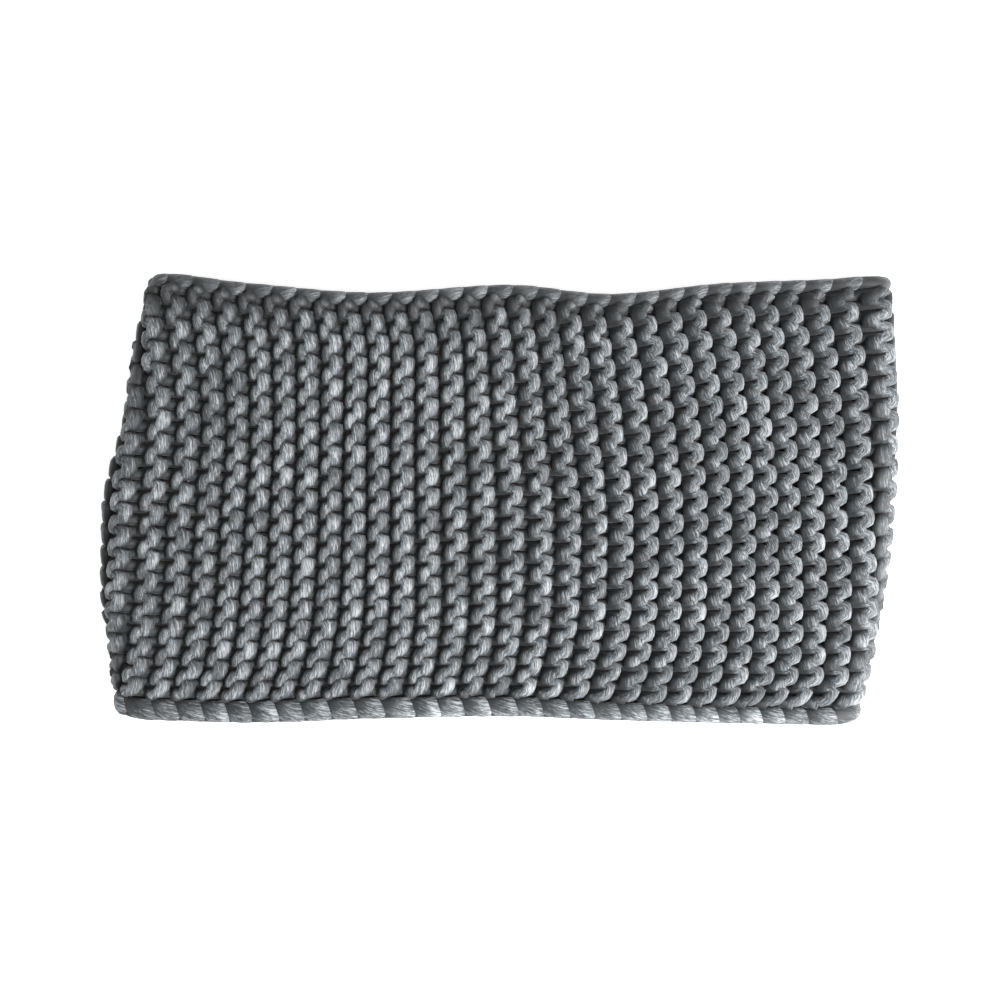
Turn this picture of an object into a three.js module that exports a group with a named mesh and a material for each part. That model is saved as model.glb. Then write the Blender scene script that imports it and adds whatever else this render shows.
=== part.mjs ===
// Ear warmer headband: one wide tube of thick garter stitch, knitted sideways and lying flat,
// folded double, as it is put down on a table. The ridges of the stitch run from rim to rim,
// and each rim is closed by a chained edge with one slanting link for each ridge.
// X runs from fold to fold, Y from rim to rim, and Z up from the table.
// The origin is the middle of the band's footprint, on the table.
import * as THREE from "three";

// Driving dimensions, in millimetres.
const WIDTH = 230; // from fold to fold, lying flat
const HEIGHT = 129; // from rim to rim, over both chained edges
const WALL = 6.4; // the knitted wall, over the ridges of both its faces
const RELIEF = 1.7; // a ridge above the valley beside it
const HOLLOW = 6; // open space between the two layers at the folds, where the head goes
const SAG = 1; // how much lower the upper layer lies away from the folds
const EDGE_DEPTH = 3.2; // a chained edge, outwards from the garter stitch
const EDGE_THICKNESS = 5.6; // a chained edge, across the wall
const EDGE_GROOVE = 0.7; // how far the groove between two links sinks in
const JOIN_GAP = 0.3; // clearance between the garter stitch and a chained edge
const UNDER_INSET = 1.2; // how much further in the rims of the hidden lower layer lie
const LEAN = 0.2; // sideways lean of the upper ridges towards +X, for each mm of height
const RIDGES = 62; // garter ridges round the whole band

// The faceting: stations over one ridge, as shares of it, from valley to valley.
const RIDGE_STATIONS = [0, 0.26, 0.5, 0.74];
const LINK_STATIONS = [0, 0.5];
const ROW_HEIGHTS = [0, 0.12, 0.26, 0.4, 0.54, 0.67, 0.79, 0.9, 1]; // closer where ridges turn
const RIDGE_SHARPNESS = 0.6; // below 1 a ridge is round on top and steep at its foot

// Sections from the lower rim (up 0) to the upper rim (up 1). left and right are the folds, as
// shares of WIDTH from the middle. leftTurn and rightTurn say which share of the round lies on
// each fold, because the ridges slant across the folds. at0 to at42 are where 0 to 42 hundredths
// of the round lie on the upper layer, as shares of WIDTH: they bow to the right.
const SECTIONS = [
  { up: 0.0, left: -0.486, right: 0.453, leftTurn: -0.041, rightTurn: 0.438,
    at0: -0.409, at8: -0.257, at16: -0.091, at24: 0.068, at32: 0.224, at42: 0.404 },
  { up: 0.08, left: -0.489, right: 0.464, leftTurn: -0.046, rightTurn: 0.441,
    at0: -0.396, at8: -0.243, at16: -0.082, at24: 0.081, at32: 0.237, at42: 0.427 },
  { up: 0.24, left: -0.5, right: 0.479, leftTurn: -0.054, rightTurn: 0.447,
    at0: -0.384, at8: -0.23, at16: -0.074, at24: 0.094, at32: 0.247, at42: 0.431 },
  { up: 0.46, left: -0.498, right: 0.491, leftTurn: -0.056, rightTurn: 0.453,
    at0: -0.377, at8: -0.225, at16: -0.075, at24: 0.096, at32: 0.249, at42: 0.427 },
  { up: 0.69, left: -0.474, right: 0.499, leftTurn: -0.051, rightTurn: 0.457,
    at0: -0.368, at8: -0.223, at16: -0.077, at24: 0.084, at32: 0.24, at42: 0.421 },
  { up: 0.86, left: -0.459, right: 0.496, leftTurn: -0.041, rightTurn: 0.459,
    at0: -0.376, at8: -0.222, at16: -0.077, at24: 0.074, at32: 0.228, at42: 0.414 },
  { up: 1.0, left: -0.443, right: 0.492, leftTurn: -0.031, rightTurn: 0.459,
    at0: -0.389, at8: -0.234, at16: -0.09, at24: 0.062, at32: 0.211, at42: 0.4 },
];
const ROUND_MARKS = [0, 0.08, 0.16, 0.24, 0.32, 0.42];
const MARK_COLUMNS = ["at0", "at8", "at16", "at24", "at32", "at42"];

// Both rims as the band lies: how far they reach, as shares of HEIGHT from the middle.
const RIMS = [
  { across: -0.48, top: 0.49, bottom: -0.472 },
  { across: -0.43, top: 0.5, bottom: -0.486 },
  { across: -0.31, top: 0.479, bottom: -0.493 },
  { across: -0.16, top: 0.459, bottom: -0.484 },
  { across: 0.01, top: 0.475, bottom: -0.479 },
  { across: 0.13, top: 0.456, bottom: -0.487 },
  { across: 0.28, top: 0.48, bottom: -0.494 },
  { across: 0.4, top: 0.488, bottom: -0.497 },
  { across: 0.48, top: 0.497, bottom: -0.477 },
];

// Soft dips and swells of the upper layer: where each is, how far it spreads, as shares of
// WIDTH and HEIGHT, and its rise as a share of HOLLOW.
const SWELLS = [
  { across: -0.27, along: 0.12, rise: -0.07, spread: 0.09 },
  { across: -0.02, along: 0.36, rise: 0.18, spread: 0.08 },
  { across: 0.1, along: -0.16, rise: 0.12, spread: 0.14 },
  { across: 0.14, along: 0.4, rise: -0.06, spread: 0.06 },
  { across: 0.38, along: 0.2, rise: 0.14, spread: 0.08 },
];

// Cross-section of a chained edge: out from the join as a share of EDGE_DEPTH, through the wall
// as a share of half EDGE_THICKNESS, and slant, the share of a link by which the corner lags.
const EDGE_SECTION = [
  { out: 0, through: -0.82, slant: -0.5 },
  { out: 0, through: 0.82, slant: -0.5 },
  { out: 0.5, through: 1, slant: -0.1 },
  { out: 1, through: 0.45, slant: 0.3 },
  { out: 1, through: -0.45, slant: 0.3 },
  { out: 0.5, through: -1, slant: -0.1 },
];

const FOLD_RADIUS = (WALL + HOLLOW) / 2; // of the wall's middle, at either fold
const SWELL_FADE = 2 * WALL; // stretch beside a fold over which the dips and swells fade in
const FACES_DOWN = -0.999; // vertical part of the way out, where the wall rests on the table

const mix = (a, b, share) => a + (b - a) * share;
const clamp = (value, low, high) => Math.min(Math.max(value, low), high);

// Smooth curve through (xs, ys) that never swings past its points.
function through(xs, ys, x) {
  const last = xs.length - 1;
  let i = 0;
  while (i < last - 1 && x > xs[i + 1]) i += 1;
  const rise = (j) => (ys[j + 1] - ys[j]) / (xs[j + 1] - xs[j]);
  const slope = (j) => {
    if (j === 0) return rise(0);
    if (j === last) return rise(last - 1);
    const before = rise(j - 1);
    const after = rise(j);
    return before * after <= 0 ? 0 : (2 * before * after) / (before + after);
  };
  const span = xs[i + 1] - xs[i];
  const t = clamp((x - xs[i]) / span, 0, 1);
  const bend = t * t * (3 - 2 * t);
  const start = slope(i) * span * t * (1 - t) * (1 - t);
  const end = slope(i + 1) * span * t * t * (1 - t);
  return mix(ys[i], ys[i + 1], bend) + start - end;
}

const column = (table, key) => table.map((row) => row[key]);

// The section at a height: its folds in mm, and where its marks of the round lie along it.
function sectionAt(up) {
  const read = (key) => through(column(SECTIONS, "up"), column(SECTIONS, key), up);
  const left = read("left") * WIDTH;
  const right = read("right") * WIDTH;
  const quarter = (Math.PI / 2) * FOLD_RADIUS;
  const leftCentre = left + WALL / 2 + FOLD_RADIUS;
  const rightCentre = right - WALL / 2 - FOLD_RADIUS;
  const straight = rightCentre - leftCentre;
  const leftTurn = read("leftTurn");
  const marks = MARK_COLUMNS.map((key) => quarter + read(key) * WIDTH - leftCentre);
  return {
    leftCentre,
    rightCentre,
    straight,
    quarter,
    shares: [leftTurn, ...ROUND_MARKS, read("rightTurn"), leftTurn + 1],
    lengths: [0, ...marks, straight + 2 * quarter, 2 * straight + 4 * quarter],
  };
}

// How much higher the upper layer lies at a place of the footprint than at the folds, in mm.
function swell(x, up, section) {
  const along = mix(-0.5, 0.5, up);
  const inside = Math.min(x - section.leftCentre, section.rightCentre - x) / SWELL_FADE;
  const fade = THREE.MathUtils.smoothstep(inside, 0, 1);
  const total = SWELLS.reduce((sum, s) => {
    const dx = (x / WIDTH - s.across) / s.spread;
    const dy = ((along - s.along) * HEIGHT) / WIDTH / s.spread;
    return sum + s.rise * Math.exp(-(dx * dx + dy * dy));
  }, 0);
  return fade * (total * HOLLOW - SAG);
}

// Middle of the wall at a length round the section, and the way that its outside faces.
function wallAt(section, length, up) {
  const { leftCentre, rightCentre, straight, quarter } = section;
  const middle = WALL / 2 + FOLD_RADIUS;
  const arc = (centre, angle) => ({
    x: centre - FOLD_RADIUS * Math.cos(angle),
    z: middle + FOLD_RADIUS * Math.sin(angle),
    outX: -Math.cos(angle),
    outZ: Math.sin(angle),
  });
  if (length < quarter) return arc(leftCentre, length / FOLD_RADIUS);
  if (length < quarter + straight) {
    const x = leftCentre + length - quarter;
    return { x, z: middle + FOLD_RADIUS + swell(x, up, section), outX: 0, outZ: 1 };
  }
  if (length < 3 * quarter + straight)
    return arc(rightCentre, (length - straight) / FOLD_RADIUS);
  if (length < 3 * quarter + 2 * straight) {
    const x = rightCentre - (length - 3 * quarter - straight);
    return { x, z: middle - FOLD_RADIUS, outX: 0, outZ: -1 };
  }
  return arc(leftCentre, (length - 2 * straight) / FOLD_RADIUS);
}

// A point of the band: its share of the round, its height from rim to rim, its distance inside
// the rim in mm (0 when up alone places it), and its distance out of the wall's middle in mm.
function bandPoint(turn, up, fromRim, out) {
  const section = sectionAt(up);
  const share = section.shares[0] + THREE.MathUtils.euclideanModulo(turn - section.shares[0], 1);
  const wall = wallAt(section, through(section.shares, section.lengths, share), up);
  const across = column(RIMS, "across");
  const top = through(across, column(RIMS, "top"), wall.x / WIDTH) * HEIGHT;
  const bottom = through(across, column(RIMS, "bottom"), wall.x / WIDTH) * HEIGHT;
  const under = 1 - clamp((wall.z - WALL / 2) / (2 * FOLD_RADIUS), 0, 1);
  const inset = UNDER_INSET * under + fromRim;
  const y = mix(bottom + inset, top - inset, up);
  const lean = LEAN * out * Math.max(wall.outZ, 0);
  return new THREE.Vector3(wall.x + wall.outX * out + lean, y, wall.z + wall.outZ * out);
}

// Height of a ridge over its valley, from 0 to 1, at a share of one ridge.
const ridge = (share) => Math.abs(Math.sin(Math.PI * share)) ** RIDGE_SHARPNESS;

// Whether the wall lies level on the table here, where its ridges are pressed flat.
function isPressed(turn, up) {
  const facing = bandPoint(turn, up, 0, 1).z - bandPoint(turn, up, 0, 0).z;
  return facing < FACES_DOWN;
}

// Closed solid round the band from rings of points, one ring at each station of the round.
// Each four-sided patch is split along its shorter diagonal, which follows slanting ridges.
function closedSweep(rings) {
  const around = rings[0].length;
  const points = rings.flat();
  const positions = points.flatMap((p) => [p.x, p.y, p.z]);
  const apart = (a, b) => points[a].distanceTo(points[b]);
  const faces = [];
  for (let i = 0; i < rings.length; i += 1) {
    const next = (i + 1) % rings.length;
    for (let j = 0; j < around; j += 1) {
      const after = (j + 1) % around;
      const [a, b] = [i * around + j, i * around + after];
      const [c, d] = [next * around + after, next * around + j];
      if (apart(a, c) <= apart(b, d)) faces.push(a, c, b, a, d, c);
      else faces.push(a, d, b, d, c, b);
    }
  }
  const geometry = new THREE.BufferGeometry();
  geometry.setAttribute("position", new THREE.Float32BufferAttribute(positions, 3));
  geometry.setIndex(faces);
  geometry.computeVertexNormals();
  return geometry;
}

// The garter-stitch wall: ridges outside, and inside the same ridges half a ridge further on.
function bandGeometry() {
  const foot = WALL / 2 - RELIEF;
  const fromRim = EDGE_DEPTH + JOIN_GAP;
  const rings = [];
  for (let count = 0; count < RIDGES; count += 1) {
    for (const station of RIDGE_STATIONS) {
      const turn = (count + station) / RIDGES;
      const outside = ROW_HEIGHTS.map((up) => {
        const flat = station > 0 && isPressed(turn, up);
        const height = flat ? 1 : ridge(station);
        return bandPoint(turn, up, fromRim, foot + RELIEF * height);
      });
      const inside = ROW_HEIGHTS.map((up) =>
        bandPoint(turn, up, fromRim, -foot - RELIEF * ridge(station + 0.5)),
      );
      rings.push([...outside, ...inside.reverse()]);
    }
  }
  return closedSweep(rings);
}

// A chained edge at the lower rim (up 0) or the upper rim (up 1): a soft rope of slanting links.
function edgeGeometry(up) {
  const rings = [];
  for (let count = 0; count < RIDGES; count += 1) {
    for (const station of LINK_STATIONS) {
      const groove = station === 0 ? EDGE_GROOVE : 0;
      const ring = EDGE_SECTION.map((corner) => {
        const turn = (count + station - corner.slant) / RIDGES;
        const fromRim = (1 - corner.out) * EDGE_DEPTH + corner.out * groove;
        const half = EDGE_THICKNESS / 2 - (corner.out > 0 ? groove : 0);
        return bandPoint(turn, up, fromRim, corner.through * half);
      });
      rings.push(up === 0 ? ring.reverse() : ring);
    }
  }
  return closedSweep(rings);
}

// Soft grey acrylic yarn, slightly blue.
function yarn(colour) {
  return new THREE.MeshStandardMaterial({ color: colour, roughness: 0.9, metalness: 0 });
}

function piece(name, geometry, material) {
  const mesh = new THREE.Mesh(geometry, material);
  mesh.name = name;
  return mesh;
}

const headband = new THREE.Group();
headband.name = "ear_warmer_headband";
headband.add(
  piece("band", bandGeometry(), yarn(0x8d9295)),
  piece("upper_edge", edgeGeometry(1), yarn(0x8f9497)),
  piece("lower_edge", edgeGeometry(0), yarn(0x8f9497)),
);

export default headband;
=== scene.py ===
"""Ear warmer headband in chunky garter stitch, lying flat and folded double.

Every row of the knitting is one strand of yarn that runs from rim to rim in loops. Two rows make
one ridge on each face of the cloth. A chain of larger loops closes each rim.
The strands follow the same form as the frame's band: its sections, rims, dips and swells.
"""
import math

import bpy
import numpy as np
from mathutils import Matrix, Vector


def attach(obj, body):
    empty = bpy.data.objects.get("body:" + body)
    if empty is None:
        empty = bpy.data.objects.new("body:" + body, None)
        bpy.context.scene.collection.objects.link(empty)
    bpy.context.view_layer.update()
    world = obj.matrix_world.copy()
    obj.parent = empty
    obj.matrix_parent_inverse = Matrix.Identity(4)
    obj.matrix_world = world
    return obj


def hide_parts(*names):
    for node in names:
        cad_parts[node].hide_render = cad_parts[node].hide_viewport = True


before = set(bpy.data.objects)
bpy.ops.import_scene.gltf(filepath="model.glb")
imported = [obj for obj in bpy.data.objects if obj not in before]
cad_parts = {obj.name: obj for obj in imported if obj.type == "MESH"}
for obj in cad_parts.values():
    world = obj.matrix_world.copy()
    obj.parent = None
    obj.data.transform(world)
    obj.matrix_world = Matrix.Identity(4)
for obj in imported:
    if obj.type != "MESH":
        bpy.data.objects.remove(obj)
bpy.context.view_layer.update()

MM = 0.001

# The band as the frame has it, in metres.
WIDTH = 230 * MM  # from fold to fold, lying flat
HEIGHT = 129 * MM  # from rim to rim, over both chained edges
WALL = 6.4 * MM  # the knitted wall, over the ridges of both its faces
HOLLOW = 6 * MM  # open space between the two layers at the folds
SAG = 1 * MM  # how much lower the upper layer lies away from the folds
UNDER_INSET = 1.2 * MM  # how much further in the rims of the hidden lower layer lie
RIDGES = 62  # garter ridges round the whole band
FOLD_RADIUS = (WALL + HOLLOW) / 2  # of the middle of the wall
QUARTER = math.pi / 2 * FOLD_RADIUS
SWELL_FADE = 2 * WALL  # from a fold to where the dips and swells have their full height
LOWEST = 0.1 * MM  # the yarn is pressed level this far above the surface that it lies on

# Sections from the lower rim (up 0) to the upper rim (up 1), as shares of WIDTH or of the round.
SECTION_COLUMNS = ("up", "left", "right", "left_turn", "right_turn",
                   "at0", "at8", "at16", "at24", "at32", "at42")
SECTIONS = (
    (0.00, -0.486, 0.453, -0.041, 0.438, -0.409, -0.257, -0.091, 0.068, 0.224, 0.404),
    (0.08, -0.489, 0.464, -0.046, 0.441, -0.396, -0.243, -0.082, 0.081, 0.237, 0.427),
    (0.24, -0.500, 0.479, -0.054, 0.447, -0.384, -0.230, -0.074, 0.094, 0.247, 0.431),
    (0.46, -0.498, 0.491, -0.056, 0.453, -0.377, -0.225, -0.075, 0.096, 0.249, 0.427),
    (0.69, -0.474, 0.499, -0.051, 0.457, -0.368, -0.223, -0.077, 0.084, 0.240, 0.421),
    (0.86, -0.459, 0.496, -0.041, 0.459, -0.376, -0.222, -0.077, 0.074, 0.228, 0.414),
    (1.00, -0.443, 0.492, -0.031, 0.459, -0.389, -0.234, -0.090, 0.062, 0.211, 0.400),
)
ROUND_MARKS = (0, 0.08, 0.16, 0.24, 0.32, 0.42)  # shares of the round, for at0 to at42

# Both rims: how far they reach, as shares of HEIGHT, at shares of WIDTH across.
RIM_COLUMNS = ("across", "top", "bottom")
RIMS = (
    (-0.48, 0.490, -0.472),
    (-0.43, 0.500, -0.486),
    (-0.31, 0.479, -0.493),
    (-0.16, 0.459, -0.484),
    (0.01, 0.475, -0.479),
    (0.13, 0.456, -0.487),
    (0.28, 0.480, -0.494),
    (0.40, 0.488, -0.497),
    (0.48, 0.497, -0.477),
)

# Dips and swells of the upper layer: across and along as shares of WIDTH and HEIGHT, rise as a
# share of HOLLOW, spread as a share of WIDTH.
SWELLS = (
    (-0.27, 0.12, -0.07, 0.09),
    (-0.02, 0.36, 0.18, 0.08),
    (0.10, -0.16, 0.12, 0.14),
    (0.14, 0.40, -0.06, 0.06),
    (0.38, 0.20, 0.14, 0.08),
)

# The garter stitch.
STITCHES = 18.5  # in each row, from rim to rim
CLOSER_AT_RIMS = 0.05  # how much closer the stitches lie near the rims, as a share
RIDGE = 7.1 * MM  # one ridge, along the round
YARN = 3.2 * MM  # thickness of the soft yarn where it lies free
TWIST = 0.18 / MM  # how fast the fibres turn round it
FIRST_ROW = 0.25  # ridges from the start of the round to row 0
ROW_YARN = 0.4  # metres of yarn from the start of one row to the next, so that no two look alike
LOOP_FLAT = 0.12  # how flat the top of a loop is
LOOP_SLANT = 0.3 * MM  # how far to the right the upper half of an upright bump lies
LOOP_TILT = 0.3 * MM  # how far the upper end of an upright bump is raised and its lower end lowered
LEFT_TURN = 28  # degrees that both bumps would turn left where the ridges lean left by FULL_LEAN
TUCKED = 0.15  # stitches at the ends of a row that go in under the chained edge
SAMPLES = 16  # points of the strand in one stitch
CLOSER_POINTS = 0.22  # how far those move towards its head and feet, where a stitch is 2 pi long
SIDES = 10  # faces round the strand

# At two shares of the round: where the rows start and end, from the lower and the upper rim, and
# how wide the links of the two chained edges are.
RIM_MARKS = (0.08, 0.36)
ROW_START = (7.0 * MM, 5.4 * MM)
ROW_END = (2.6 * MM, 3.7 * MM)
LOWER_LINK_WIDTH = (6.6 * MM, 5.2 * MM)
UPPER_LINK_WIDTH = (3.9 * MM, 3.9 * MM)

# The two bumps of a ridge, each where the ridge stands upright, where it leans over most, and at
# the folds, which stretch it flat:
# degrees that it faces to the right, thickness and width as shares of YARN, how far it reaches
# from the middle of its row and how high it rises, how square its outline and its height are (1 is
# a wave, less is squarer), how far it swells towards its neighbours as a share of a stitch, and
# its section, where 1 is an ellipse and less is squarer.
BUMP_COLUMNS = ("faces_right", "thickness", "width", "reach", "rise", "outline", "profile",
                "swell", "section")
LEFT_BUMP = (
    (-20, 0.95, 1.26, 3.55 * MM, 1.9 * MM, 1.0, 0.75, 0.12, 1.0),
    (-30, 0.74, 1.42, 3.70 * MM, 1.9 * MM, 0.5, 0.45, 0.03, 0.6),
    (0, 0.90, 1.60, 3.60 * MM, 1.5 * MM, 0.5, 0.25, 0.22, 0.7),
)
RIGHT_BUMP = (
    (26, 1.00, 1.32, 3.50 * MM, 2.6 * MM, 1.0, 0.8, 0.12, 1.0),
    (25, 0.92, 0.88, 2.80 * MM, 3.1 * MM, 1.0, 0.5, 0.13, 0.95),
    (0, 0.90, 1.60, 3.60 * MM, 1.5 * MM, 0.5, 0.25, 0.22, 0.7),
)
LEG_WIDTH = 0.92  # of the strand where it goes through the wall, as a share of YARN
WIDER_AT_FOLDS = 0.35  # and how much wider it is at the folds
LEG_THICKNESS = 1.0  # of the strand there, along the row
THICKER_AT_FOLDS = 0.12  # and how much thicker at the folds
THINNER_LEANING = 0.3  # and how much thinner, in the left bumps' rows, where the ridges lean most
FOLD_REACH = 1.3  # how far the form that the folds have reaches round towards the two faces
FOLD_FADE = 1.6  # how fast it fades there, and how fast the ridges' lean fades towards the folds

# How uneven the knitting is: where its stitches lie, in stitches; how far its bumps reach and rise
# and how wide its yarn is, as shares; how long a link is, as a share, and where it lies, in ridges.
UNEVEN_PLACE = 0.025
UNEVEN_BUMP = 0.04
UNEVEN_WIDTH = 0.05
UNEVEN_LINK = 0.03

# Painted shade: how much nearer the middle of the wall shaded yarn is taken to lie, as a share.
SHADED_BY_CHAIN = 0.3  # under the upper chain
SHADED_STITCHES = 1.6  # how many stitches of a row that shade fades over
FULL_SHADE = 0.2  # the length by the chain that lies in full shade, as a share of those stitches
# painted shade on the yarn at the folds
SHADED_AT_FOLDS = 0.1


def column(table, names, name):
    return np.array([row[names.index(name)] for row in table], float)


def pick(table, places):
    """From each row of a table, the value at that row's place."""
    return np.take_along_axis(table, places[:, None], axis=1)[:, 0]


def through(xs, ys, x):
    """Smooth curve through the points of each row of xs and ys that never swings past them."""
    rise = np.diff(ys) / np.diff(xs)
    before, after = rise[:, :-1], rise[:, 1:]
    total = np.where(before + after == 0, 1, before + after)
    inner = np.where(before * after <= 0, 0, 2 * before * after / total)
    slope = np.concatenate([rise[:, :1], inner, rise[:, -1:]], axis=1)
    i = np.clip((x[:, None] > xs[:, 1:-1]).sum(axis=1), 0, xs.shape[1] - 2)
    x0, x1, y0, y1 = pick(xs, i), pick(xs, i + 1), pick(ys, i), pick(ys, i + 1)
    t = np.clip((x - x0) / (x1 - x0), 0, 1)
    bend = t * t * (3 - 2 * t)
    start = pick(slope, i) * (x1 - x0) * t * (1 - t) ** 2
    end = pick(slope, i + 1) * (x1 - x0) * t * t * (1 - t)
    return y0 + (y1 - y0) * bend + start - end


def read_table(table, names, key, name, at):
    """A table's column as a smooth curve over its first column, read at each value of at."""
    xs = np.tile(column(table, names, key), (len(at), 1))
    ys = np.tile(column(table, names, name), (len(at), 1))
    return through(xs, ys, at)


def sections_at(up):
    """The section at each height: its folds, and where its marks of the round lie along it."""
    read = {n: read_table(SECTIONS, SECTION_COLUMNS, "up", n, up) for n in SECTION_COLUMNS[1:]}
    left = read["left"] * WIDTH + WALL / 2 + FOLD_RADIUS
    right = read["right"] * WIDTH - WALL / 2 - FOLD_RADIUS
    straight = right - left
    marks = [QUARTER + read[n] * WIDTH - left for n in SECTION_COLUMNS[5:]]
    fixed = [np.full_like(up, share) for share in ROUND_MARKS]
    turns = [read["left_turn"], *fixed, read["right_turn"], read["left_turn"] + 1]
    ends = [straight + 2 * QUARTER, 2 * straight + 4 * QUARTER]
    lengths = [np.zeros_like(up), *marks, *ends]
    return left, right, np.stack(turns, axis=1), np.stack(lengths, axis=1)


def swell(x, up, left, right):
    """How much higher the upper layer lies at a place than at the folds."""
    inside = np.clip(np.minimum(x - left, right - x) / SWELL_FADE, 0, 1)
    fade = inside * inside * (3 - 2 * inside)
    total = np.zeros_like(x)
    for across, along, rise, spread in SWELLS:
        dx = (x / WIDTH - across) / spread
        dy = (up - 0.5 - along) * HEIGHT / WIDTH / spread
        total += rise * np.exp(-(dx * dx + dy * dy))
    return fade * (total * HOLLOW - SAG)


def band_place(turn, up, from_rim):
    """Middle of the wall at a share of the round and a height, and the way its outside faces."""
    left, right, turns, lengths = sections_at(up)
    share = turns[:, 0] + np.mod(turn - turns[:, 0], 1)
    length = through(turns, lengths, share)
    straight = right - left
    middle = WALL / 2 + FOLD_RADIUS
    on_top = (length >= QUARTER) & (length < QUARTER + straight)
    under = (length >= 3 * QUARTER + straight) & (length < 3 * QUARTER + 2 * straight)
    on_right = (length >= QUARTER + straight) & (length < 3 * QUARTER + straight)
    late = length >= 3 * QUARTER + 2 * straight
    angle = np.where(on_right, length - straight, np.where(late, length - 2 * straight, length))
    angle = angle / FOLD_RADIUS
    centre = np.where(on_right, right, left)
    x = centre - FOLD_RADIUS * np.cos(angle)
    x = np.where(on_top, left + length - QUARTER, x)
    x = np.where(under, right - (length - 3 * QUARTER - straight), x)
    out_x = np.where(on_top | under, 0, -np.cos(angle))
    out_z = np.where(on_top, 1, np.where(under, -1, np.sin(angle)))
    z = middle + FOLD_RADIUS * out_z
    z = np.where(on_top, z + swell(x, up, left, right), z)
    top = read_table(RIMS, RIM_COLUMNS, "across", "top", x / WIDTH) * HEIGHT
    bottom = read_table(RIMS, RIM_COLUMNS, "across", "bottom", x / WIDTH) * HEIGHT
    low = 1 - np.clip((z - WALL / 2) / (2 * FOLD_RADIUS), 0, 1)
    inset = UNDER_INSET * low + from_rim
    y = bottom + inset + (top - bottom - 2 * inset) * up
    return np.stack([x, y, z], axis=1), np.stack([out_x, 0 * x, out_z], axis=1)


# How far the ridges of the upper layer lean over to the right: shares of WIDTH, and degrees.
LEAN_AT = (-0.45, -0.15, 0.0, 0.15, 0.45)
LEAN = (-12, -8, 6, 26, 30)
FULL_LEAN = 30


def lean_at(place, out):
    """How far the ridges lean over, as a share of FULL_LEAN: only those of the upper layer do."""
    lean = np.interp(place[:, 0] / WIDTH, LEAN_AT, LEAN) / FULL_LEAN
    level = np.clip(1 - FOLD_FADE * (1 - out[:, 2]), 0, 1)
    return lean * level * level * (3 - 2 * level)


def lean_over(rings, lean, place, out, way_round):
    """Moves the outer side of a strand along the round: the further out, the further over."""
    outwards = ((rings - place[:, None, :]) * out[:, None, :]).sum(axis=2)
    slope = np.tan(np.radians(lean * FULL_LEAN))
    over = slope[:, None] * np.maximum(outwards, 0)
    return rings + way_round[:, None, :] * over[:, :, None]


def normalised(vectors):
    return vectors / np.maximum(np.linalg.norm(vectors, axis=-1, keepdims=True), 1e-12)


def rings_along(centres, along, width_way, thickness, width, section):
    """Rings of points round a strand: width along width_way, thickness across it.
    A section of 1 makes them ellipses, and less makes them squarer."""
    along = normalised(along)
    side = normalised(width_way - (width_way * along).sum(axis=1, keepdims=True) * along)
    rise = np.cross(side, along)
    angle = 2 * math.pi * np.arange(SIDES) / SIDES
    ring_up = np.sign(np.cos(angle)) * np.abs(np.cos(angle)) ** section[:, None]
    ring_across = np.sign(np.sin(angle)) * np.abs(np.sin(angle)) ** section[:, None]
    up = ring_up[:, :, None] * rise[:, None, :] * thickness[:, None, None] / 2
    across = ring_across[:, :, None] * side[:, None, :] * width[:, None, None] / 2
    return centres[:, None, :] + up + across, angle


def strand_mesh(strands):
    """Closed tubes, one for each strand: vertices, faces, yarn coordinates and the heights for the
    painted shade.
    """
    vertices, quads, ends, places, heights = [], [], [], [], []
    first = 0
    for rings, angle, start, twist, is_loop, height in strands:
        count = len(rings)
        step = np.linalg.norm(np.diff(rings.mean(axis=1), axis=0), axis=1)
        run = start + np.concatenate([[0], np.cumsum(step)])
        spun = angle[None, :] + twist * run[:, None]
        radius = YARN / 2
        place = np.stack([radius * np.cos(spun), radius * np.sin(spun),
                          np.repeat(run[:, None], SIDES, axis=1)], axis=-1)
        vertices.append(rings.reshape(-1, 3))
        places.append(place.reshape(-1, 3))
        heights.append(height.ravel())
        last = count if is_loop else count - 1
        i = np.arange(last)[:, None]
        j = np.arange(SIDES)[None, :]
        after = (j + 1) % SIDES
        following = (i + 1) % count
        corner = [i * SIDES + j, i * SIDES + after, following * SIDES + after,
                  following * SIDES + j]
        quads.append(first + np.stack([np.broadcast_to(c, (last, SIDES)) for c in corner],
                                      axis=-1).reshape(-1, 4))
        if not is_loop:
            ends.append(first + np.arange(SIDES)[::-1])
            ends.append(first + (count - 1) * SIDES + np.arange(SIDES))
        first += count * SIDES
    joined = [np.concatenate(rows) for rows in (vertices, quads, places, heights)]
    return *joined, ends


def make_piece(name, strands, material):
    """One mesh of several strands, which keeps where each point lies in the yarn and its height for
    the painted shade.
    """
    vertices, quads, places, heights, ends = strand_mesh(strands)
    mesh = bpy.data.meshes.new(name)
    mesh.vertices.add(len(vertices))
    mesh.vertices.foreach_set("co", vertices.ravel())
    corners = np.concatenate([quads.ravel(), *ends]) if ends else quads.ravel()
    sizes = np.array([4] * len(quads) + [SIDES] * len(ends))
    mesh.loops.add(len(corners))
    mesh.loops.foreach_set("vertex_index", corners)
    mesh.polygons.add(len(sizes))
    mesh.polygons.foreach_set("loop_start", np.concatenate([[0], np.cumsum(sizes)[:-1]]))
    mesh.polygons.foreach_set("use_smooth", np.ones(len(sizes), bool))
    mesh.update(calc_edges=True)
    place = mesh.attributes.new("yarn_place", "FLOAT_VECTOR", "POINT")
    place.data.foreach_set("vector", places.ravel())
    height = mesh.attributes.new("painted_shade_height", "FLOAT", "POINT")
    height.data.foreach_set("value", heights)
    mesh.validate()
    piece = bpy.data.objects.new(name, mesh)
    bpy.context.scene.collection.objects.link(piece)
    mesh.materials.append(material)
    return piece


def squared(wave, power):
    """A wave with flatter crests and steeper sides, for a power under 1."""
    return np.sign(wave) * np.abs(wave) ** power


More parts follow.
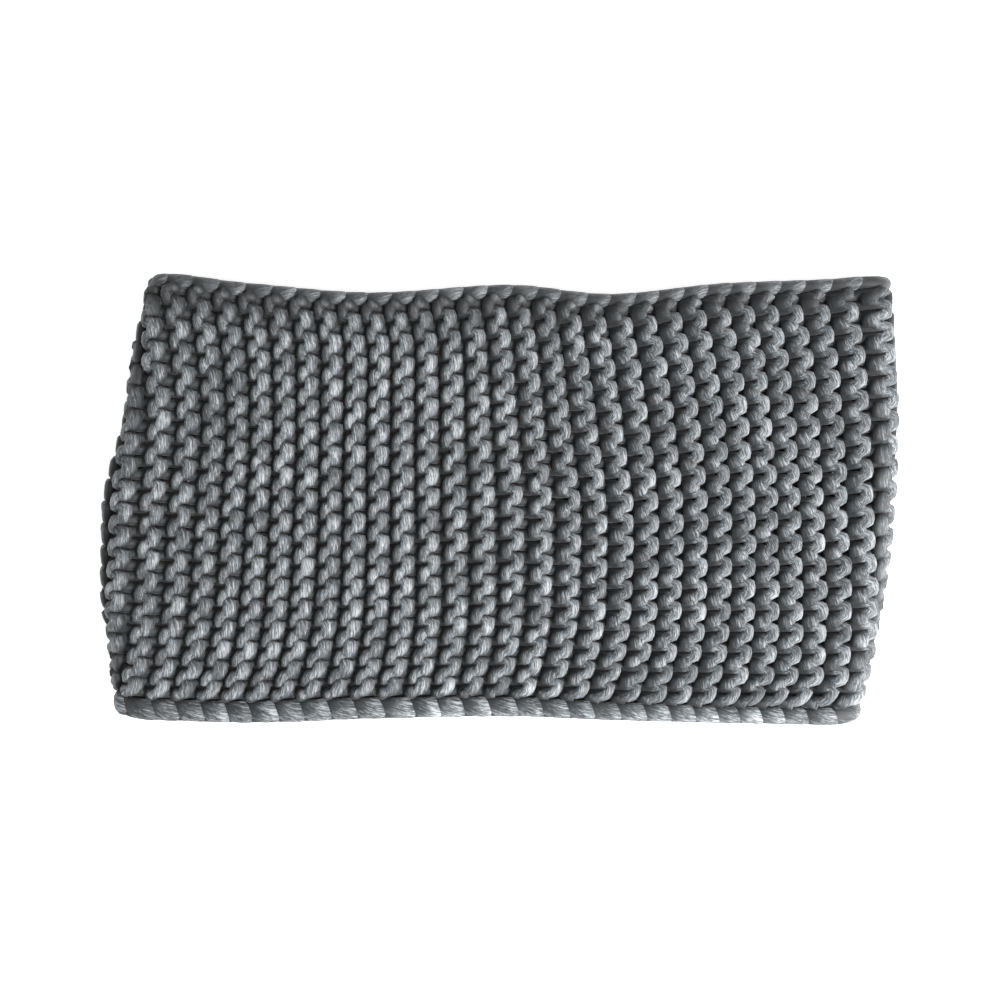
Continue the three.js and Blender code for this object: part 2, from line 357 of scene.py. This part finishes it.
def at_rims(turn, values):
    """A value given at RIM_MARKS, read at a share of the round."""
    return np.interp(turn, RIM_MARKS, values, period=1)


def along_the_row(t, rng):
    """A function that draws unevenness: a value for each head and foot, and straight lines between."""
    spots = np.arange(int(2 * STITCHES) + 1)

    def uneven(amount):
        return np.interp((t + math.pi) / math.pi, spots, rng.normal(0, amount, len(spots)))

    return uneven


def bump_form(side, outside, row_lean, at_the_fold):
    """The form of a row's bumps at each of its points, between the three forms of its table."""
    leant = np.maximum(row_lean, 0) * outside
    folded = at_the_fold * outside
    upright, leaning, at_fold = RIGHT_BUMP if side > 0 else LEFT_BUMP
    return {name: a + (b - a) * leant + (c - a) * folded
            for name, a, b, c in zip(BUMP_COLUMNS, upright, leaning, at_fold)}


def yarn_size(bump, side, wave, row_lean, at_the_fold):
    """Width and thickness of the strand: its bumps' at the heads and feet, its legs' between."""
    leg = LEG_WIDTH + WIDER_AT_FOLDS * at_the_fold
    width = leg + (bump["width"] - leg) * wave ** 2
    leg = LEG_THICKNESS + THICKER_AT_FOLDS * at_the_fold
    leg = leg - THINNER_LEANING * np.maximum(row_lean, 0) * (side < 0)
    thickness = leg + (bump["thickness"] - leg) * wave ** 2
    return YARN * width, YARN * thickness


def painted_shade_height(rings, place, out, stitch, at_the_fold):
    """Heights for the painted shade: how far each point lies from the middle of the wall, less in
    shade.
    """
    height = np.abs(((rings - place[:, None, :]) * out[:, None, :]).sum(axis=2))
    past_chain = np.clip((STITCHES - stitch) / SHADED_STITCHES - FULL_SHADE, 0, 1)
    height *= (1 - SHADED_BY_CHAIN * (1 - past_chain))[:, None]
    return height * (1 - SHADED_AT_FOLDS * at_the_fold)[:, None]


def row_strand(row, rng):
    """One row of knitting. Even rows are knitted: their loop heads lie outside the band. Odd
    rows are purled: their feet do. A head and the foot beside it share one ridge."""
    t = np.arange(int(STITCHES * SAMPLES) + 1) * (2 * math.pi / SAMPLES) - math.pi
    t -= CLOSER_POINTS * np.sin(2 * t)
    uneven = along_the_row(t, rng)
    side = 1 if row % 2 == 0 else -1
    row_turn = (FIRST_ROW + row / 2) / RIDGES
    start, end = at_rims(row_turn, ROW_START), at_rims(row_turn, ROW_END)
    wave = np.cos(t) - LOOP_FLAT * np.cos(3 * t)
    even = (t + math.pi) / (2 * math.pi)
    share = np.clip(even / STITCHES, 0, 1)

    # The form of the bumps, from where the middle of the row lies.
    middle, faces = band_place(row_turn + 0 * share, share, start + 0 * share)
    row_lean = lean_at(middle, faces)
    straight = 1 - np.maximum(row_lean, 0)
    at_the_fold = np.clip(FOLD_REACH - FOLD_FADE * np.abs(faces[:, 2]), 0, 1)
    outside = np.clip(2 * side * wave, 0, 1)
    bump = bump_form(side, outside, row_lean, at_the_fold)

    # The line of the strand: up the row, to and fro across it, and in and out through the wall.
    stitch = even + bump["swell"] * np.sin(2 * t) + uneven(UNEVEN_PLACE)
    share = np.clip(stitch / STITCHES, 0, 1)
    up = share - CLOSER_AT_RIMS * np.sin(2 * math.pi * share) / (2 * math.pi)
    from_rim = start + (end - start) * up
    across = bump["reach"] * squared(wave, bump["outline"]) * (1 + uneven(UNEVEN_BUMP))
    across += LOOP_SLANT * straight * np.sin(2 * t)
    place, out = band_place(row_turn + across / RIDGE / RIDGES, up, from_rim)
    tucked = np.clip(np.minimum(stitch, STITCHES - stitch) / TUCKED, 0, 1)
    height = bump["rise"] * squared(wave, bump["profile"]) * (1 + uneven(UNEVEN_BUMP))
    depth = side * (height + LOOP_TILT * straight * np.sin(t)) * tucked
    way_round = np.stack([out[:, 2], 0 * up, -out[:, 0]], axis=1)
    centres = place + out * depth[:, None]

    # The yarn round that line.
    tilt = np.radians(bump["faces_right"] + LEFT_TURN * np.minimum(row_lean, 0))
    width_way = way_round * np.cos(tilt)[:, None] - out * np.sin(tilt)[:, None]
    width, thickness = yarn_size(bump, side, wave, row_lean, at_the_fold)
    width *= 1 + uneven(UNEVEN_WIDTH)
    along = np.gradient(centres, axis=0)
    rings, angle = rings_along(centres, along, width_way, thickness, width, bump["section"])
    # Painted shade: the material paints the yarn darker the lower its height here.
    height = painted_shade_height(rings, place, out, stitch, at_the_fold)
    rings = lean_over(rings, lean_at(place, out), place, out, way_round)
    rings[..., 2] = np.maximum(rings[..., 2], LOWEST)
    return rings, angle, row * ROW_YARN, TWIST, False, height


# The links of the chained edges: like scales, each with its right end over the next one's left.
# up is 0 at the lower rim and 1 at the upper. The depths are how far outwards from the middle of the
# wall a link's outer side lies towards its two ends, and left_width is the left end's width as a
# share of the right end's. slant is how much further along a point lies for each metre further up,
# clear is the height that its painted shade is worked out from away from its start, where the
# lower it is, the darker the yarn is painted, and twist is how fast its fibres turn.
LINK_COLUMNS = ("up", "left_depth", "right_depth", "left_thickness", "right_thickness",
                "left_width", "slant", "clear", "twist")
LOWER_LINK = (0.0, -0.6 * MM, 2.1 * MM, 2.4 * MM, 3.4 * MM, 0.95, -0.35, 3.2 * MM, -0.16 / MM)
UPPER_LINK = (1.0, -0.6 * MM, 2.0 * MM, 2.2 * MM, 3.2 * MM, 0.85, 0.42, 2.8 * MM, 0.42 / MM)
LINK_LENGTH = 1.45  # in ridges
LINK_SQUARE = 0.5  # how square its ring is, where 1 is an ellipse
LINK_SAMPLES = 24  # points of the yarn in one link
LINK_YARN = 1.7  # metres of yarn from one link to the next, so that no two look alike

# Painted shade at the start of each link, as if cast by the one before, least at its side along the
# rim.
LINK_SHADE = 1.8 * MM  # how much nearer the middle of the wall it seems to lie there
START_FADE = 1.5  # how fast that fades along the link
MIDDLE_SHADE = 0.8  # its share half way across the link
RIM_FADE = 1.4  # how fast it fades from there to the rim

# The strand that runs along each rim inside the links: its size across the wall and along it, the
# height that its painted shade is worked out from, and its points for each ridge.
CORE_DEPTH = 3.4 * MM
CORE_WIDTH = 2.4 * MM
CORE_CLEAR = 2 * MM
CORE_STEPS = 6


def link_strand(count, link, widths, rng):
    """One link of a chained edge: a ring of yarn round the rim."""
    size = dict(zip(LINK_COLUMNS, link))
    t = 2 * math.pi * np.arange(LINK_SAMPLES) / LINK_SAMPLES
    to_right = (1 + np.cos(t)) / 2

    def blend(name):
        return size["left_" + name] * (1 - to_right) + size["right_" + name] * to_right

    reach = LINK_LENGTH / 2 * (1 + rng.normal(0, UNEVEN_LINK)) * np.cos(t)
    turn = (count + 0.5 + rng.normal(0, UNEVEN_LINK) + reach) / RIDGES
    width = at_rims(turn, widths) * (size["left_width"] * (1 - to_right) + to_right)
    place, out = band_place(turn, size["up"] + 0 * t, width / 2)
    depth = blend("depth") * squared(np.sin(t), LINK_SQUARE)
    centres = place + out * depth[:, None]
    way_round = np.stack([out[:, 2], 0 * t, -out[:, 0]], axis=1)
    along = np.roll(centres, -1, axis=0) - np.roll(centres, 1, axis=0)
    along_rim = np.array([[0, 1, 0]]) + 0 * centres
    rings, angle = rings_along(centres, along, along_rim, blend("thickness"), width, 1 + 0 * t)
    # The ends slant: the further up a point lies, the further along.
    upwards = rings[..., 1] - centres[:, None, 1]
    rings = rings + way_round[:, None, :] * (size["slant"] * upwards)[:, :, None]
    rings[..., 2] = np.maximum(rings[..., 2], LOWEST)
    # Painted shade at the start of the link, least at its side along the rim.
    to_rim = upwards * (2 * size["up"] - 1) / width[:, None]
    inwards = np.clip(MIDDLE_SHADE - RIM_FADE * to_rim, 0, 1)
    starts = np.clip(START_FADE * (1 - to_right), 0, 1)[:, None]
    height = size["clear"] - LINK_SHADE * starts * inwards
    return rings, angle, count * LINK_YARN, size["twist"], True, height


def core_strand(up, twist):
    """The yarn that runs along a rim inside its links, and closes the rim between them."""
    turn = np.arange(RIDGES * CORE_STEPS) / (RIDGES * CORE_STEPS)
    place, out = band_place(turn, up + 0 * turn, CORE_WIDTH / 2 + 0 * turn)
    along = np.roll(place, -1, axis=0) - np.roll(place, 1, axis=0)
    same = 1 + 0 * turn
    along_rim = np.array([[0, 1, 0]]) + 0 * place
    rings, angle = rings_along(place, along, along_rim, CORE_DEPTH * same, CORE_WIDTH * same, same)
    rings[..., 2] = np.maximum(rings[..., 2], LOWEST)
    return rings, angle, 0, twist, True, CORE_CLEAR + 0 * rings[..., 0]


# Materials.
def linear(hex_colour):
    """An sRGB hex colour as linear RGBA."""
    channels = [int(hex_colour[i:i + 2], 16) / 255 for i in (0, 2, 4)]
    return [c / 12.92 if c <= 0.04045 else ((c + 0.055) / 1.055) ** 2.4 for c in channels] + [1]


def add_node(tree, kind, settings=None, inputs=None, links=None):
    """A node with its settings, its input values and its links from other nodes' outputs."""
    node = tree.nodes.new(kind)
    for name, value in (settings or {}).items():
        setattr(node, name, value)
    for name, value in (inputs or {}).items():
        node.inputs[name].default_value = value
    for name, output in (links or {}).items():
        tree.links.new(output, node.inputs[name])
    return node


# The streaks of the yarn: how wide and how long they are, how much finer detail they have and how
# much they wander. An acrylic fibre is about 0.02 mm thick, which is too fine to show, so locks,
# grain and fluff are drawn 8 to 20 times as coarse. The tone is the slow change from one bump to
# the next.
STREAKS = (
    ("locks", 0.34 * MM, 5 * MM, 1, 0.1),
    ("grain", 0.17 * MM, 1.5 * MM, 1, 0),
    ("fluff", 0.4 * MM, 0.7 * MM, 2, 0),
    ("tone", 20 * MM, 8 * MM, 0, 0),
)
STREAK_ROUGHNESS = 0.6  # how strong that finer detail is
GRAIN_SHARE = 0.6  # of the grain in its mix with the locks, then of the fluff and of the tone
FLUFF_SHARE = 0.22
TONE_SHARE = 0.2
DARK_AT, MIDDLE_AT, LIGHT_AT = 0.41, 0.5, 0.60  # where the streaks have the three colours
# Painted shade: below DEEP the yarn is painted in its shade colour, above CREST in its own streaks.
DEEP, CREST = 1.8 * MM, 3.6 * MM  # heights in a ridge where the yarn is darkest and clear
FIBRE_RELIEF = 0.3 * MM  # how far the streaks stand out of the yarn


def acrylic_yarn(name, painted_shade_colour, dark, middle, light):
    """Loosely spun acrylic: long soft fibres lie side by side and catch the light in streaks.
    Shade is painted in where the yarn lies low, deep between the bumps. It is dull, with a faint
    sheen."""
    material = bpy.data.materials.new(name)
    material.use_nodes = True
    tree = material.node_tree
    tree.nodes.clear()
    place = add_node(tree, "ShaderNodeAttribute", {"attribute_name": "yarn_place"})
    pattern = {}
    for streak, across, along, detail, wander in STREAKS:
        stretched = add_node(tree, "ShaderNodeVectorMath", {"operation": "MULTIPLY"},
                             {1: (1 / across, 1 / across, 1 / along)},
                             {0: place.outputs["Vector"]})
        noise = add_node(tree, "ShaderNodeTexNoise", {},
                         {"Scale": 1, "Detail": detail, "Roughness": STREAK_ROUGHNESS,
                          "Distortion": wander},
                         {"Vector": stretched.outputs["Vector"]})
        pattern[streak] = noise.outputs["Fac"]
    grained = add_node(tree, "ShaderNodeMix", {"data_type": "FLOAT"}, {"Factor": GRAIN_SHARE},
                       {2: pattern["locks"], 3: pattern["grain"]})
    softened = add_node(tree, "ShaderNodeMix", {"data_type": "FLOAT"}, {"Factor": FLUFF_SHARE},
                        {2: grained.outputs[0], 3: pattern["fluff"]})
    toned = add_node(tree, "ShaderNodeMix", {"data_type": "FLOAT"}, {"Factor": TONE_SHARE},
                     {2: softened.outputs[0], 3: pattern["tone"]})
    colour = add_node(tree, "ShaderNodeValToRGB", {}, {}, {"Fac": toned.outputs[0]})
    ramp = colour.color_ramp
    ramp.elements[0].position = DARK_AT
    ramp.elements[0].color = linear(dark)
    ramp.elements[1].position = LIGHT_AT
    ramp.elements[1].color = linear(light)
    between = ramp.elements.new(MIDDLE_AT)
    between.color = linear(middle)
    height = add_node(tree, "ShaderNodeAttribute", {"attribute_name": "painted_shade_height"})
    clear = add_node(tree, "ShaderNodeMapRange", {"interpolation_type": "SMOOTHSTEP"},
                     {"From Min": DEEP, "From Max": CREST}, {"Value": height.outputs["Fac"]})
    # Painted shade: the shade colour where the yarn lies low.
    shaded = add_node(tree, "ShaderNodeMix", {"data_type": "RGBA"}, {6: linear(painted_shade_colour)},
                      {"Factor": clear.outputs["Result"], 7: colour.outputs["Color"]})
    relief = add_node(tree, "ShaderNodeBump", {}, {"Strength": 0.8, "Distance": FIBRE_RELIEF},
                      {"Height": softened.outputs[0]})
    shader = add_node(tree, "ShaderNodeBsdfPrincipled", {},
                      {"Roughness": 0.65, "IOR": 1.5, "Sheen Weight": 0.1, "Sheen Roughness": 0.5},
                      {"Base Color": shaded.outputs[2], "Normal": relief.outputs["Normal"]})
    add_node(tree, "ShaderNodeOutputMaterial", {}, {}, {"Surface": shader.outputs["BSDF"]})
    return material


# Camera, light and floor.
CAMERA_HEIGHT = 450 * MM
SIGHT_HEIGHT = 9.3 * MM  # the height at which the outline lies
PIXEL = 0.28858 * MM  # one pixel of the photograph's frame, at that height
IMAGE_WIDTH = 1000  # pixels
SENSOR_WIDTH = 36  # of the camera, in its own millimetres
FLOOR_REACH = 1.5  # metres from the middle of the floor to its sides


def add_camera():
    """A camera that looks straight down, as the photograph does."""
    camera = bpy.data.cameras.new("camera")
    camera.sensor_width = SENSOR_WIDTH
    camera.lens = SENSOR_WIDTH * (CAMERA_HEIGHT - SIGHT_HEIGHT) / (IMAGE_WIDTH * PIXEL)
    camera.clip_start = 0.01
    holder = bpy.data.objects.new("camera", camera)
    holder.location = (0, 0, CAMERA_HEIGHT)
    bpy.context.scene.collection.objects.link(holder)
    bpy.context.scene.camera = holder


def add_light(name, place, target, size, power, spread):
    """A round soft light: places and size in metres, power in watts, spread in degrees."""
    light = bpy.data.lights.new(name, "AREA")
    light.shape = "DISK"
    light.size = size
    light.energy = power
    light.spread = math.radians(spread)
    holder = bpy.data.objects.new(name, light)
    holder.location = place
    way = Vector(target) - Vector(place)
    holder.rotation_euler = way.to_track_quat("-Z", "Y").to_euler()
    bpy.context.scene.collection.objects.link(holder)


def add_studio():
    """A floor of white paper, with soft light from the lower right, from above and all round."""
    scene = bpy.context.scene
    scene.view_settings.view_transform = "Standard"
    world = bpy.data.worlds.new("studio")
    world.use_nodes = True
    background = world.node_tree.nodes["Background"]
    background.inputs["Color"].default_value = (1, 1, 1, 1)
    background.inputs["Strength"].default_value = 0.5
    scene.world = world
    add_light("key", place=(0.44, -0.34, 0.54), target=(0.14, -0.07, 0), size=0.45, power=2.7,
              spread=56)
    add_light("overhead", place=(0.1, -0.1, 1.3), target=(0, 0, 0), size=0.8, power=6, spread=180)
    floor_mesh = bpy.data.meshes.new("floor")
    corners = [(x * FLOOR_REACH, y * FLOOR_REACH, 0) for x, y in ((-1, -1), (1, -1), (1, 1), (-1, 1))]
    floor_mesh.from_pydata(corners, [], [(0, 1, 2, 3)])
    floor = bpy.data.objects.new("floor", floor_mesh)
    scene.collection.objects.link(floor)
    material = bpy.data.materials.new("white_studio_paper")
    material.use_nodes = True
    shader = material.node_tree.nodes["Principled BSDF"]
    shader.inputs["Base Color"].default_value = (0.95, 0.95, 0.95, 1)
    shader.inputs["Roughness"].default_value = 0.9
    shader.inputs["Emission Color"].default_value = (1, 1, 1, 1)
    shader.inputs["Emission Strength"].default_value = 0.5
    floor_mesh.materials.append(material)


add_camera()
add_studio()

# The first colour of each yarn is its painted shade colour.
garter_yarn = acrylic_yarn("loosely_spun_acrylic_garter", "0c0f11", "1f2225", "4b4f52", "8b8f92")
# The same yarn with lighter light streaks: painted light on the chained edges, which catch more of the
# light.
lit_edge_yarn = acrylic_yarn("loosely_spun_acrylic_edge_painted_lighter", "0c0f11", "1b1e20", "4c5053", "989da0")

SEED = 7  # of the unevenness
FIRST_RIDGE = -4  # where the first piece starts, in ridges from the start of the round

# The pieces of the garter stitch and how many ridges each has, round from the left fold.
PIECES = (
    ("stitches_upper_left", 16),
    ("stitches_upper_right", 16),
    ("stitches_lower_right", 15),
    ("stitches_lower_left", 15),
)
rng = np.random.default_rng(SEED)
row = 2 * FIRST_RIDGE
for name, ridges in PIECES:
    strands = [row_strand(row + i, rng) for i in range(2 * ridges)]
    row += 2 * ridges
    piece = make_piece(name, strands, garter_yarn)
    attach(piece, "root")
    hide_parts("band")

CHAINS = (
    ("lower_chain", "lower_edge", LOWER_LINK, LOWER_LINK_WIDTH),
    ("upper_chain", "upper_edge", UPPER_LINK, UPPER_LINK_WIDTH),
)
for name, edge, link, widths in CHAINS:
    strands = [link_strand(count, link, widths, rng) for count in range(RIDGES)]
    strands.append(core_strand(link[0], link[-1]))
    piece = make_piece(name, strands, lit_edge_yarn)
    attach(piece, "root")
    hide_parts(edge)
